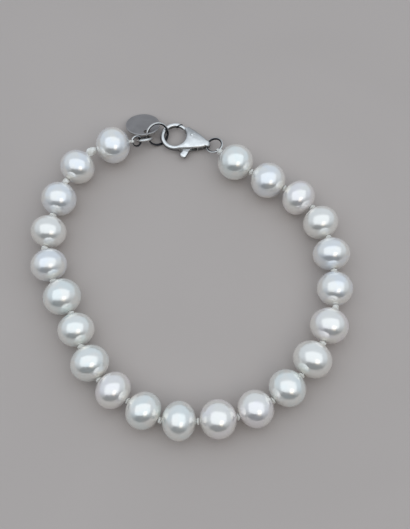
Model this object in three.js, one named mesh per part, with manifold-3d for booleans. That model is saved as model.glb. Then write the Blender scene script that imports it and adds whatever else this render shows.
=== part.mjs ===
// Pearl bracelet with a lobster clasp, laid out flat as a closed loop.
// Millimetres, +Z up. The bracelet lies on the plane z = 0, and the origin is under the middle
// of its bounding box. Each pearl, ring and clasp part is a mesh of its own.
import * as THREE from 'three';
import { mergeVertices } from 'three/addons/utils/BufferGeometryUtils.js';
import Module from 'manifold-3d';

const wasm = await Module();
wasm.setup();

// ---------------------------------------------------------------- driving dimensions

// The strand, from the pearl beside the rings round the loop to the pearl beside the clasp.
// across: width over the drill axis. along: length on the drill axis. axis: heading of the
// drill axis in degrees from +X. gap: room to the next pearl, which the knot fills.
const PEARLS = [
  { across: 8.0, along: 7.4, axis: 195, gap: 2.4 },
  { across: 7.7, along: 7.1, axis: 235, gap: 1.35 },
  { across: 7.6, along: 7.2, axis: 254, gap: 0.8 },
  { across: 7.6, along: 6.8, axis: 260, gap: 1.0 },
  { across: 7.7, along: 6.8, axis: 287, gap: 0.65 },
  { across: 8.0, along: 7.4, axis: 300, gap: 0.55 },
  { across: 7.6, along: 6.9, axis: 288, gap: 0.7 },
  { across: 8.0, along: 7.2, axis: 299, gap: 0.55 },
  { across: 7.8, along: 6.7, axis: 324, gap: 0.45 },
  { across: 7.7, along: 7.0, axis: 328, gap: 0.65 },
  { across: 8.0, along: 6.8, axis: 359, gap: 0.6 },
  { across: 7.9, along: 7.4, axis: 366, gap: 0.45 },
  { across: 7.7, along: 7.2, axis: 386, gap: 0.45 },
  { across: 7.8, along: 7.2, axis: 401, gap: 0.6 },
  { across: 8.2, along: 7.3, axis: 416, gap: 0.75 },
  { across: 8.0, along: 7.3, axis: 429, gap: 1.1 },
  { across: 7.5, along: 7.2, axis: 450, gap: 0.65 },
  { across: 7.9, along: 6.8, axis: 456, gap: 0.7 },
  { across: 7.6, along: 6.9, axis: 474, gap: 0.7 },
  { across: 7.6, along: 6.7, axis: 502, gap: 0.55 },
  { across: 7.7, along: 7.4, axis: 512, gap: 0.7 },
  { across: 7.9, along: 7.5, axis: 504, gap: 0 },
];
const STRAND_START = { x: -19.9, y: 26.2 };
const PEARL_SIDES = 16;
const PEARL_BANDS = 9;
const BORE_RADIUS = 0.42;

const THREAD_RADIUS = 0.28;
const THREAD_SIDES = 8;
const THREAD_INTO_KNOT = 0.15;
const KNOT_RADIUS = 0.66;
const LONG_KNOT_RADIUS = 0.85;
const LONG_KNOT_GAP = 2;
const KNOT_END_ROOM = 0.1;
const KNOT_SIDES = 8;
const LOOP_RADIUS = 0.45;
const LOOP_THREAD_RADIUS = 0.15;
const END_KNOT_RADIUS = 0.6;
const END_KNOT_LENGTH = 0.9;

// The clasp lies flat. Its own frame has the origin in the middle of the hook's opening,
// +X to the tail and +Z through its thickness.
const CLASP = { x: -6.49, y: 29.8, z: 1.25, heading: -15.8 };
const OPENING_RADIUS = 2.3;
const HOOK_RADIUS = 2.83;
const HOOK_WIDTH = 1.0;
const HOOK_THICKNESS = 1.2;
const HOOK_SIDES = 10;
const HOOK_STEPS = 26;
const HOOK_ROOT_ANGLE = -56;
const HOOK_TIP_ANGLE = -284;
const TAIL_END = 7.95;
const TAIL_HOLE = { x: 7.1, radius: 0.55 };
const PIVOT = { x: 3.5, y: 1.0 };
const PIN_RADIUS = 0.3;
const PIN_HOLE_RADIUS = 0.38;
const PIN_LENGTH = 2.24;
const SLOT_THICKNESS = 1.14;
const LEVER_THICKNESS = 0.9;
const GATE_INNER_RADIUS = 2.42;
const GATE_OUTER_RADIUS = 3.12;

// The slanting joint between the hook's tip and the gate's tip.
const TIP_JOINT = { x: 0.19, y: 2.75, slope: 40, halfGap: 0.06 };

// Jump rings: radius to the middle of the wire, wire radius, centre and the way the ring faces.
const RINGS = {
  end_ring: { radius: 1.08, wire: 0.22, centre: [-14.89, 27.62, 3.2], facing: [0.52, -0.5, 0.69] },
  link_ring: { radius: 1.5, wire: 0.33, centre: [-13.21, 28.47, 2.54], facing: [-0.14, 0.75, 0.6] },
  joining_ring: { radius: 2.42, wire: 0.27, centre: [-10.41, 30.01, 2.05], facing: [0.38, -0.62, 0.68] },
};
const TAIL_RING = { radius: 1.75, wire: 0.27, rise: 17, middleInHole: 7.2 };
const RING_WIRE_SIDES = 8;
const RING_STEPS = 28;

const TAG = { radius: 3.75, thickness: 0.42, centre: [-13.69, 32.32, 2.06], facing: [-0.02, 0.4, 0.917] };
const TAG_HOLE = { radius: 0.6, fromMiddle: 2.75, angle: -69.5 };
const TAG_EDGE = 0.06;

// ---------------------------------------------------------------- finishes

const pearlFinish = new THREE.MeshStandardMaterial({ color: 0xf0ede6, roughness: 0.18, metalness: 0 });
const silverFinish = new THREE.MeshStandardMaterial({ color: 0xbcbdc0, roughness: 0.2, metalness: 1 });
const satinSilverFinish = new THREE.MeshStandardMaterial({ color: 0x8f9096, roughness: 0.4, metalness: 0.9 });
const silkFinish = new THREE.MeshStandardMaterial({ color: 0xf3f1ea, roughness: 0.85, metalness: 0 });

// ---------------------------------------------------------------- shared helpers

const radians = THREE.MathUtils.degToRad;

// A closed mesh as a solid that can be joined and cut.
function solidOf(geometry) {
  const bare = geometry.clone();
  bare.deleteAttribute('normal');
  bare.deleteAttribute('uv');
  const welded = mergeVertices(bare, 1e-5);
  const mesh = new wasm.Mesh({
    numProp: 3,
    vertProperties: new Float32Array(welded.attributes.position.array),
    triVerts: new Uint32Array(welded.index.array),
  });
  return new wasm.Manifold(mesh);
}

// A solid as a mesh geometry again.
function geometryOf(solid) {
  const mesh = solid.getMesh();
  const geometry = new THREE.BufferGeometry();
  geometry.setAttribute('position', new THREE.BufferAttribute(mesh.vertProperties, 3));
  geometry.setIndex(new THREE.BufferAttribute(mesh.triVerts, 1));
  geometry.computeVertexNormals();
  return geometry;
}

function heading(degrees) {
  return new THREE.Vector3(Math.cos(radians(degrees)), Math.sin(radians(degrees)), 0);
}

// The pose of a flat thing whose own +Z faces the given way, with its own +X kept level.
function poseFacing(centre, facing) {
  const normal = new THREE.Vector3(...facing).normalize();
  const side = new THREE.Vector3(0, 1, 0).cross(normal).normalize();
  const up = normal.clone().cross(side);
  return new THREE.Matrix4().makeBasis(side, up, normal).setPosition(...centre);
}

// A round bar from one point to another.
function bar(from, to, radius, sides) {
  const length = from.distanceTo(to);
  const geometry = new THREE.CylinderGeometry(radius, radius, length, sides);
  const turn = new THREE.Quaternion().setFromUnitVectors(
    new THREE.Vector3(0, 1, 0),
    to.clone().sub(from).normalize(),
  );
  geometry.applyQuaternion(turn);
  geometry.translate(...from.clone().add(to).multiplyScalar(0.5).toArray());
  return geometry;
}

// A flat outline given a thickness, centred on its own mid-plane.
function plate(outline, thickness, curveSegments = 10) {
  const geometry = new THREE.ExtrudeGeometry(outline, { depth: thickness, bevelEnabled: false, curveSegments });
  geometry.translate(0, 0, -thickness / 2);
  return geometry;
}

function outlineOf(points) {
  return new THREE.Shape(points.map(([x, y]) => new THREE.Vector2(x, y)));
}

// ---------------------------------------------------------------- the strand's layout

// Where each pearl lies: its middle, the ends of its drill hole, and the knot after it.
function layOutStrand() {
  const places = [];
  let middle = new THREE.Vector2(STRAND_START.x, STRAND_START.y);
  PEARLS.forEach((pearl, index) => {
    const way = heading(pearl.axis);
    const centre = new THREE.Vector3(middle.x, middle.y, pearl.across / 2);
    const place = {
      ...pearl,
      way,
      centre,
      entry: centre.clone().addScaledVector(way, -pearl.along / 2),
      exit: centre.clone().addScaledVector(way, pearl.along / 2),
    };
    places.push(place);
    const next = PEARLS[index + 1];
    if (next) {
      const knot = place.exit.clone().addScaledVector(way, pearl.gap / 2);
      place.knot = knot.clone().setZ((pearl.across + next.across) / 4);
      place.knotWay = way.clone().add(heading(next.axis)).normalize();
      const step = knot.clone().addScaledVector(heading(next.axis), (pearl.gap + next.along) / 2);
      middle = new THREE.Vector2(step.x, step.y);
    }
  });
  return places;
}

// ---------------------------------------------------------------- pearls

// A drilled pearl, a little flattened on its drill axis. Its bands are laid out so that one flat
// facet lies level on the resting plane.
function pearlGeometry({ across, along }) {
  const flatRadius = across / 2 / Math.cos(Math.PI / PEARL_SIDES);
  const startAngle = Math.asin(BORE_RADIUS / flatRadius);
  const bandAngle = (Math.PI - 2 * startAngle) / PEARL_BANDS;
  const widen = 1 / Math.cos(bandAngle / 2);
  const profile = [];
  for (let band = 0; band <= PEARL_BANDS; band += 1) {
    const angle = startAngle + band * bandAngle;
    const atRim = band === 0 || band === PEARL_BANDS;
    const radius = atRim ? BORE_RADIUS : flatRadius * widen * Math.sin(angle);
    profile.push(new THREE.Vector2(radius, -Math.cos(angle) * along / 2));
  }
  profile.push(profile[0].clone());
  const geometry = new THREE.LatheGeometry(profile, PEARL_SIDES, Math.PI / PEARL_SIDES);
  geometry.rotateZ(-Math.PI / 2);
  return geometry;
}

function addPearls(bracelet, places) {
  places.forEach((place, index) => {
    const pearl = new THREE.Mesh(pearlGeometry(place), pearlFinish);
    pearl.name = `pearl_${String(index + 1).padStart(2, '0')}`;
    pearl.position.copy(place.centre);
    pearl.rotation.z = radians(place.axis);
    bracelet.add(pearl);
  });
}

// ---------------------------------------------------------------- silk thread and knots

// A knot as a barrel with rounded shoulders, lying along the thread.
function knotGeometry(centre, way, halfLength, radius) {
  const shoulder = radius * 0.6;
  const profile = [
    new THREE.Vector2(0, -halfLength),
    new THREE.Vector2(shoulder, -halfLength),
    new THREE.Vector2(radius, -halfLength * 0.4),
    new THREE.Vector2(radius, halfLength * 0.4),
    new THREE.Vector2(shoulder, halfLength),
    new THREE.Vector2(0, halfLength),
  ];
  const geometry = new THREE.LatheGeometry(profile, KNOT_SIDES);
  geometry.applyQuaternion(new THREE.Quaternion().setFromUnitVectors(new THREE.Vector3(0, 1, 0), way));
  geometry.translate(...centre.toArray());
  return geometry;
}

// The loop of thread round a ring's wire, on the side of the ring that faces a point.
function threadLoop(ringPose, ringRadius, toward) {
  const centre = new THREE.Vector3().setFromMatrixPosition(ringPose);
  const normal = new THREE.Vector3().setFromMatrixColumn(ringPose, 2);
  const outward = toward.clone().sub(centre).projectOnPlane(normal).normalize();
  const onWire = centre.clone().addScaledVector(outward, ringRadius);
  const tangent = normal.clone().cross(outward);
  const geometry = new THREE.TorusGeometry(LOOP_RADIUS, LOOP_THREAD_RADIUS, 8, 12);
  geometry.applyMatrix4(new THREE.Matrix4().makeBasis(outward, normal.clone().negate(), tangent));
  geometry.translate(...onWire.toArray());
  const pull = toward.clone().sub(onWire).normalize();
  const tie = onWire.clone().addScaledVector(pull.projectOnPlane(tangent).normalize(), LOOP_RADIUS);
  return { geometry, tie };
}

function addThread(bracelet, places, endRingPose, tailRingPose) {
  const first = places[0];
  const last = places[places.length - 1];
  const parts = [];
  for (const { entry, exit, way } of places) {
    const from = entry.clone().addScaledVector(way, -THREAD_INTO_KNOT);
    const to = exit.clone().addScaledVector(way, THREAD_INTO_KNOT);
    parts.push(bar(from, to, THREAD_RADIUS, THREAD_SIDES));
  }
  for (const { knot, knotWay, gap } of places.slice(0, -1)) {
    const radius = gap > LONG_KNOT_GAP ? LONG_KNOT_RADIUS : KNOT_RADIUS;
    parts.push(knotGeometry(knot, knotWay, gap / 2 - KNOT_END_ROOM, radius));
  }
  const startLoop = threadLoop(endRingPose, RINGS.end_ring.radius, first.entry);
  parts.push(startLoop.geometry);
  parts.push(bar(startLoop.tie, first.entry.clone().addScaledVector(first.way, 0.5), LOOP_THREAD_RADIUS, THREAD_SIDES));
  const endLoop = threadLoop(tailRingPose, TAIL_RING.radius, last.exit);
  const drop = last.exit.clone().sub(endLoop.tie);
  parts.push(endLoop.geometry);
  parts.push(bar(endLoop.tie, last.exit.clone().addScaledVector(last.way, THREAD_INTO_KNOT / 2), THREAD_RADIUS, THREAD_SIDES));
  parts.push(knotGeometry(
    endLoop.tie.clone().addScaledVector(drop, 0.5),
    drop.normalize(),
    END_KNOT_LENGTH / 2,
    END_KNOT_RADIUS,
  ));
  const joined = parts.map(solidOf).reduce((whole, part) => whole.add(part));
  const thread = new THREE.Mesh(geometryOf(joined), silkFinish);
  thread.name = 'silk_thread';
  bracelet.add(thread);
}

// ---------------------------------------------------------------- rings and tag

function ringMesh(name, radius, wire, pose) {
  const ring = new THREE.Mesh(new THREE.TorusGeometry(radius, wire, RING_WIRE_SIDES, RING_STEPS), silverFinish);
  ring.name = name;
  ring.applyMatrix4(pose);
  return ring;
}

// The ring through the clasp's tail: it hangs in the cross hole and rises towards the pearls.
function tailRingPose(claspPose) {
  const rise = radians(TAIL_RING.rise);
  const along = new THREE.Vector3(Math.cos(rise), 0, Math.sin(rise));
  const normal = new THREE.Vector3(-Math.sin(rise), 0, Math.cos(rise));
  const local = new THREE.Matrix4().makeBasis(along, new THREE.Vector3(0, 1, 0), normal);
  const centre = new THREE.Vector3(TAIL_RING.middleInHole, 0, 0).addScaledVector(along, TAIL_RING.radius);
  local.setPosition(centre);
  return claspPose.clone().multiply(local);
}

function addTag(bracelet) {
  const disc = new THREE.Shape();
  disc.absarc(0, 0, TAG.radius - TAG_EDGE, 0, 2 * Math.PI);
  const hole = new THREE.Path();
  const angle = radians(TAG_HOLE.angle);
  const { fromMiddle, radius } = TAG_HOLE;
  hole.absarc(fromMiddle * Math.cos(angle), fromMiddle * Math.sin(angle), radius + TAG_EDGE, 0, 2 * Math.PI, true);
  disc.holes.push(hole);
  const geometry = new THREE.ExtrudeGeometry(disc, {
    depth: TAG.thickness - 2 * TAG_EDGE,
    bevelSize: TAG_EDGE,
    bevelThickness: TAG_EDGE,
    bevelSegments: 1,
    curveSegments: 14,
  });
  geometry.translate(0, 0, TAG_EDGE - TAG.thickness / 2);
  const tag = new THREE.Mesh(geometry, satinSilverFinish);
  tag.name = 'tag';
  tag.applyMatrix4(poseFacing(TAG.centre, TAG.facing));
  bracelet.add(tag);
}

// ---------------------------------------------------------------- lobster clasp

// Everything on one side of the slanting joint between hook and gate.
function besideTipJoint(side) {
  const size = 4;
  const block = new THREE.BoxGeometry(size, size, size);
  block.translate(0, side * (size / 2 - TIP_JOINT.halfGap), 0);
  block.rotateZ(radians(TIP_JOINT.slope));
  block.translate(TIP_JOINT.x, TIP_JOINT.y, 0);
  return solidOf(block);
}

class HookCurve extends THREE.Curve {
  getPoint(t, target = new THREE.Vector3()) {
    const angle = radians(THREE.MathUtils.lerp(HOOK_ROOT_ANGLE, HOOK_TIP_ANGLE, t));
    return target.set(HOOK_RADIUS * Math.cos(angle), HOOK_RADIUS * Math.sin(angle), 0);
  }
}

// The hook: an oval bar bent round the opening and cut on the slant at its tip.
function hookSolid() {
  const section = new THREE.Shape();
  for (let side = 0; side < HOOK_SIDES; side += 1) {
    const angle = (2 * Math.PI * (side + 0.5)) / HOOK_SIDES;
    const point = [HOOK_THICKNESS / 2 * Math.cos(angle), HOOK_WIDTH / 2 * Math.sin(angle)];
    if (side === 0) section.moveTo(...point);
    else section.lineTo(...point);
  }
  section.closePath();
  const bar3d = new THREE.ExtrudeGeometry(section, { extrudePath: new HookCurve(), steps: HOOK_STEPS });
  return solidOf(bar3d).subtract(besideTipJoint(-1));
}

// The teardrop body from above, with the round opening in front.
function bodyOutline() {
  const outline = new THREE.Shape();
  outline.moveTo(0.9, -3.2);
  outline.quadraticCurveTo(4.9, -2.25, 7.2, -0.68);
  outline.lineTo(7.5, -0.64);
  outline.quadraticCurveTo(TAIL_END, -0.6, TAIL_END, 0);
  outline.quadraticCurveTo(TAIL_END, 0.6, 7.5, 0.64);
  outline.lineTo(7.2, 0.68);
  outline.quadraticCurveTo(5.0, 2.0, 2.3, 2.95);
  outline.lineTo(1.62, 2.2);
  outline.lineTo(0, 0);
  outline.closePath();
  return outline;
}

// The body's side outline: fullest behind the opening, with a round end about the tail's hole.
function bodySideOutline() {
  const half = [[0.5, 0.55], [1.5, 0.9], [2.6, 1.12], [3.7, 1.12], [5.0, 1.02], [6.1, 0.88], [7.1, 0.92], [7.65, 0.7], [8.0, 0.3]];
  const lower = half.map(([x, z]) => [x, -z]);
  return outlineOf([...lower, ...half.reverse()]);
}

// The body's end outline: a low dome that thins to both flanks.
function bodyEndOutline() {
  const half = [[-3.4, 0.6], [-2.6, 0.88], [-1.4, 1.08], [0, 1.14], [1.4, 1.08], [2.6, 0.88], [3.4, 0.6]];
  const lower = half.map(([y, z]) => [y, -z]);
  return outlineOf([...lower, ...half.reverse()]);
}

// The slot that the lever lies in: open to the hook's opening and to the thumb side.
function leverSlot() {
  const outline = outlineOf([
    [1.8, -4.5], [5.45, -4.5], [5.45, -1.2], [5.1, -0.6], [5.0, 1.2], [4.4, 1.95],
    [3.4, 2.35], [2.45, 2.5], [1.9, 2.78], [1.0, 3.3], [1.0, 1.0], [1.8, -0.5],
  ]);
  return solidOf(plate(outline, SLOT_THICKNESS));
}

function pivotHole(radius) {
  const hole = new THREE.CylinderGeometry(radius, radius, 4, 16);
  hole.rotateX(Math.PI / 2);
  hole.translate(PIVOT.x, PIVOT.y, 0);
  return solidOf(hole);
}

function claspBodyGeometry() {
  const plan = solidOf(plate(bodyOutline(), 3));
  const sideView = plate(bodySideOutline(), 8);
  sideView.rotateX(Math.PI / 2);
  const endView = plate(bodyEndOutline(), 20);
  endView.rotateX(Math.PI / 2);
  endView.rotateZ(Math.PI / 2);
  const opening = new THREE.CylinderGeometry(OPENING_RADIUS, OPENING_RADIUS, 4, 32);
  opening.rotateX(Math.PI / 2);
  const tailHole = new THREE.CylinderGeometry(TAIL_HOLE.radius, TAIL_HOLE.radius, 4, 12);
  tailHole.translate(TAIL_HOLE.x, 0, 0);
  const teardrop = plan
    .intersect(solidOf(sideView))
    .intersect(solidOf(endView))
    .subtract(solidOf(opening));
  const body = teardrop
    .add(hookSolid())
    .subtract(leverSlot())
    .subtract(pivotHole(PIN_HOLE_RADIUS))
    .subtract(solidOf(tailHole));
  return geometryOf(body);
}

// The lever from above: the curved gate, the plate on the pivot and the thumb tab.
function leverOutline() {
  const outline = new THREE.Shape();
  const gateStart = radians(104);
  const gateEnd = radians(52);
  const insideStart = radians(-22);
  outline.absarc(0, 0, GATE_OUTER_RADIUS, gateStart, gateEnd, true);
  outline.quadraticCurveTo(2.9, 2.3, 3.5, 2.05);
  outline.quadraticCurveTo(4.5, 1.7, 4.45, 0.8);
  outline.lineTo(4.2, -0.6);
  outline.lineTo(4.0, -2.5);
  outline.lineTo(3.7, -3.4);
  outline.quadraticCurveTo(3.35, -4.5, 2.75, -4.55);
  outline.quadraticCurveTo(2.0, -4.5, 2.05, -3.6);
  outline.lineTo(2.4, -2.7);
  outline.lineTo(2.5, -1.2);
  outline.absarc(0, 0, GATE_INNER_RADIUS, insideStart, gateStart, false);
  outline.closePath();
  return outline;
}

function leverGeometry() {
  const lever = solidOf(plate(leverOutline(), LEVER_THICKNESS, 8))
    .subtract(besideTipJoint(1))
    .subtract(pivotHole(PIN_HOLE_RADIUS));
  return geometryOf(lever);
}

function addClasp(bracelet) {
  const clasp = new THREE.Group();
  const body = new THREE.Mesh(claspBodyGeometry(), silverFinish);
  body.name = 'clasp_body';
  const lever = new THREE.Mesh(leverGeometry(), silverFinish);
  lever.name = 'clasp_lever';
  const pin = new THREE.Mesh(new THREE.CylinderGeometry(PIN_RADIUS, PIN_RADIUS, PIN_LENGTH, 16), silverFinish);
  pin.name = 'clasp_pin';
  pin.rotation.x = Math.PI / 2;
  pin.position.set(PIVOT.x, PIVOT.y, 0);
  clasp.add(body, lever, pin);
  clasp.position.set(CLASP.x, CLASP.y, CLASP.z);
  clasp.rotation.z = radians(CLASP.heading);
  clasp.updateMatrixWorld(true);
  bracelet.add(clasp);
  return clasp.matrixWorld.clone();
}

// ---------------------------------------------------------------- the whole bracelet

function buildBracelet() {
  const bracelet = new THREE.Group();
  const places = layOutStrand();
  addPearls(bracelet, places);
  const claspPose = addClasp(bracelet);
  for (const [name, ring] of Object.entries(RINGS)) {
    bracelet.add(ringMesh(name, ring.radius, ring.wire, poseFacing(ring.centre, ring.facing)));
  }
  const tailPose = tailRingPose(claspPose);
  bracelet.add(ringMesh('tail_ring', TAIL_RING.radius, TAIL_RING.wire, tailPose));
  addTag(bracelet);
  const endPose = poseFacing(RINGS.end_ring.centre, RINGS.end_ring.facing);
  addThread(bracelet, places, endPose, tailPose);

  // The origin is moved under the middle of the whole loop.
  bracelet.updateMatrixWorld(true);
  const middle = new THREE.Box3().setFromObject(bracelet, true).getCenter(new THREE.Vector3());
  bracelet.position.set(-middle.x, -middle.y, 0);
  bracelet.updateMatrixWorld(true);
  return bracelet;
}

export default buildBracelet();
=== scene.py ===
"""A knotted pearl bracelet with a lobster clasp: its surfaces, finishes, studio and camera.

Sizes are in millimetres until a mesh is made, and Blender's unit is the metre.
"""

from __future__ import annotations

import logging
from dataclasses import dataclass, field
from enum import Enum

import bmesh
import bpy
import numpy as np
from mathutils import Matrix, Vector


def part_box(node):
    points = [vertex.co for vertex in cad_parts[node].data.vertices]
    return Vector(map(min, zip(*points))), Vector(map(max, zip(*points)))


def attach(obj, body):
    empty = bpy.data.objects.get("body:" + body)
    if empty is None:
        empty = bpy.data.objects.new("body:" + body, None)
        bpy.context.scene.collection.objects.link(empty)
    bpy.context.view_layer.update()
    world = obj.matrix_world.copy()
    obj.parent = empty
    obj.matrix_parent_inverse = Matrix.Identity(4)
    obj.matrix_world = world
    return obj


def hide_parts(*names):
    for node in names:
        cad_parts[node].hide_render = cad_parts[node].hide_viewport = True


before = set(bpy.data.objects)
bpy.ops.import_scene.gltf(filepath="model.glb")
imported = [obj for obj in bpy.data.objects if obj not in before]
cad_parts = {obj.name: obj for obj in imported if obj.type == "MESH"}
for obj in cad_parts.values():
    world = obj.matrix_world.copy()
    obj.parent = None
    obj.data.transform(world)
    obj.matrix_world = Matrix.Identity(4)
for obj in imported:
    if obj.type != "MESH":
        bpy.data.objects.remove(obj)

LOG = logging.getLogger("bracelet")
MM = 0.001
SMOOTH = 180.0
Array = np.ndarray
UP = np.array([0.0, 0.0, 1.0])
Socket = bpy.types.NodeSocket
Colour = tuple[float, float, float]
Table = tuple[tuple[float, float], ...]


# ---------------------------------------------------------------- geometry helpers


def unit(vector: Array) -> Array:
    """The vector or vectors at length one."""
    return vector / np.linalg.norm(vector, axis=-1, keepdims=True)


def heading(degrees: float) -> Array:
    """The level direction at an angle from +X."""
    angle = np.radians(degrees)
    return np.array([np.cos(angle), np.sin(angle), 0.0])


def box_centre(node: str) -> Array:
    """The middle of a CAD node's box, in millimetres."""
    low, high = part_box(node)
    return (np.array(low) + np.array(high)) / 2 / MM


def smooth_table(table: Table, at: Array, softness: float) -> Array:
    """A table of (place, value) read with its corners softened.

    The value is the mean of the straight-line table over nine places that spread a little way to
    each side, weighted by a bell curve.

    Args:
        table: Rows of place and value, in rising order of place.
        at: The places to read.
        softness: How far the bell curve spreads.

    Returns:
        The value at each place.
    """
    places, values = np.array(table).T
    steps = np.linspace(-2, 2, 9)
    weights = np.exp(-steps**2 / 2)
    spread = np.asarray(at)[..., None] + softness * steps
    return (np.interp(spread, places, values) * weights).sum(-1) / weights.sum()


def quadratic(start: Array, control: Array, end: Array, count: int) -> Array:
    """Points on a quadratic curve: (1-t)^2 start + 2t(1-t) control + t^2 end."""
    t = np.linspace(0, 1, count)[:, None]
    first, middle, last = (np.asarray(point) for point in (start, control, end))
    return (1 - t) ** 2 * first + 2 * t * (1 - t) * middle + t**2 * last


def circle(radius: Array | float, degrees: Array) -> Array:
    """Points about the origin at given radii and angles in degrees."""
    angle = np.radians(degrees)
    return np.stack([radius * np.cos(angle), radius * np.sin(angle)], -1)


def bell(distance: Array, width: float) -> Array:
    """A bell curve that is 1 at distance zero: exp(-(distance/width)^2)."""
    return np.exp(-((distance / width) ** 2))


def full_turn(count: int) -> Array:
    """Angles evenly round a circle, without the last, which is the first again."""
    return np.linspace(0, 2 * np.pi, count, endpoint=False)


def oval(b: Array, power: Array | float) -> tuple[Array, Array]:
    """Cosine and sine of an angle, each raised to a power with its sign kept.

    Args:
        b: The angles.
        power: Below 1 the oval that they draw is squarer than a circle.

    Returns:
        The two values.
    """
    cosine, sine = np.cos(b), np.sin(b)
    return np.sign(cosine) * np.abs(cosine) ** power, np.sign(sine) * np.abs(sine) ** power


def even_spacing(points: Array, step: float) -> Array:
    """The same line drawn with points about one step apart along it."""
    lengths = np.linalg.norm(np.diff(points, axis=0), axis=1)
    along = np.concatenate([[0], np.cumsum(lengths)])
    at = np.linspace(0, along[-1], max(2, int(round(along[-1] / step)) + 1))
    return np.stack([np.interp(at, along, points[:, axis]) for axis in range(points.shape[1])], -1)


def sweep(path: Array, radius: Array, sides: int) -> Array:
    """A round bar of changing thickness along a path.

    Each ring is path point + radius * (cos a * side + sin a * up). Side is level and square to
    the path, and up is square to both.

    Args:
        path: Points along the middle, one row each.
        radius: Radius of each ring, either one for each point or one for each point and side.
        sides: Number of points round a ring.

    Returns:
        A grid of points, one row for each ring.
    """
    tangent = unit(np.gradient(path, axis=0))
    side = unit(np.cross(tangent, [0.0, 0.0, 1.0]))
    up = np.cross(side, tangent)
    angle = full_turn(sides)[None, :, None]
    ring = np.cos(angle) * side[:, None] + np.sin(angle) * up[:, None]
    thick = np.broadcast_to(np.asarray(radius).reshape(len(path), -1), (len(path), sides))
    return path[:, None] + thick[..., None] * ring


def close_ends(grid: Array) -> Array:
    """The grid with one more row at each end, drawn together to that end's middle."""
    first = np.broadcast_to(grid[0].mean(0), grid[0].shape)[None]
    last = np.broadcast_to(grid[-1].mean(0), grid[-1].shape)[None]
    return np.concatenate([first, grid, last])


def repeat_ends(values: Array, rows: int = 1) -> Array:
    """Shade values with the first and last row repeated, to match added rings."""
    return np.concatenate([np.repeat(values[:1], rows, 0), values, np.repeat(values[-1:], rows, 0)])


@dataclass(frozen=True)
class Pose:
    """A place and a set of three axes at right angles."""

    centre: Array
    x_axis: Array
    y_axis: Array
    z_axis: Array

    @classmethod
    def facing(cls, centre: Array, facing: tuple[float, float, float]) -> Pose:
        """The pose whose z axis points one way and whose x axis is square to world +Y.

        Args:
            centre: The origin of the pose.
            facing: The way its z axis points.

        Returns:
            The pose.
        """
        normal = unit(np.array(facing))
        side = unit(np.cross([0.0, 1.0, 0.0], normal))
        return cls(centre, side, np.cross(normal, side), normal)

    def place(self, points: Array) -> Array:
        """Points given in this pose, in the bracelet's frame."""
        return self.centre + points @ np.stack([self.x_axis, self.y_axis, self.z_axis])


@dataclass
class Shell:
    """Grids of points gathered into one mesh, with a shade value at each point."""

    points: list[Array] = field(default_factory=list)
    quads: list[Array] = field(default_factory=list)
    shades: list[Array] = field(default_factory=list)
    count: int = 0

    def add(self, grid: Array, closed: bool = False, shade: Array | float = 0.0) -> None:
        """Adds a grid whose rows are closed rings.

        Args:
            grid: Points as rows, columns and xyz.
            closed: True if the last row also joins the first.
            shade: Shade value for each point, or one for all.
        """
        rows, columns = grid.shape[:2]
        row = np.arange(rows if closed else rows - 1)[:, None]
        column = np.arange(columns)[None, :]
        here, there = row * columns, (row + 1) % rows * columns
        beside = (column + 1) % columns
        quads = np.stack([here + column, there + column, there + beside, here + beside], -1)
        self.points.append(grid.reshape(-1, 3))
        self.quads.append(quads.reshape(-1, 4) + self.count)
        self.shades.append(np.broadcast_to(shade, (rows, columns)).reshape(-1))
        self.count += rows * columns

    def build(self, name: str, crease: float = SMOOTH) -> bpy.types.Object:
        """Makes the mesh, merges its poles and turns its faces outwards.

        Args:
            name: Name of the piece.
            crease: Edges that turn more than this many degrees stay sharp.

        Returns:
            The new object, at the origin.
        """
        points, quads = np.concatenate(self.points) * MM, np.concatenate(self.quads)
        return new_piece(name, points, quads.tolist(), np.concatenate(self.shades), crease)


def new_object(name: str, points: Array, faces: list[list[int]]) -> bpy.types.Object:
    """A new object with a plain mesh, linked to the scene at the origin.

    Args:
        name: Its name.
        points: Its points, in metres.
        faces: The point numbers of each face.

    Returns:
        The object.
    """
    mesh = bpy.data.meshes.new(name)
    mesh.from_pydata(points.tolist(), [], faces)
    made = bpy.data.objects.new(name, mesh)
    bpy.context.scene.collection.objects.link(made)
    return made


def new_piece(
    name: str, points: Array, faces: list[list[int]], shades: Array, crease: float = SMOOTH
) -> bpy.types.Object:
    """A new object with a tidied mesh and a shade value at each point.

    Args:
        name: Its name.
        points: Its points, in metres.
        faces: The point numbers of each face.
        shades: The shade value of each point.
        crease: Edges that turn more than this many degrees stay sharp.

    Returns:
        The object.
    """
    piece = new_object(name, points, faces)
    shade = piece.data.attributes.new("shade", "FLOAT", "POINT")
    shade.data.foreach_set("value", shades.astype(np.float32))
    tidy_mesh(piece.data, crease)
    return piece


def tidy_mesh(mesh: bpy.types.Mesh, crease: float) -> None:
    """Merges doubled points, turns faces outwards and smooths the shading.

    Args:
        mesh: The mesh to tidy.
        crease: Edges that turn more than this many degrees stay sharp.
    """
    work = bmesh.new()
    work.from_mesh(mesh)
    bmesh.ops.remove_doubles(work, verts=work.verts, dist=1e-7)
    bmesh.ops.recalc_face_normals(work, faces=work.faces)
    work.to_mesh(mesh)
    work.free()
    mesh.shade_smooth()
    if crease < SMOOTH:
        mesh.set_sharp_from_angle(angle=np.radians(crease))


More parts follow.
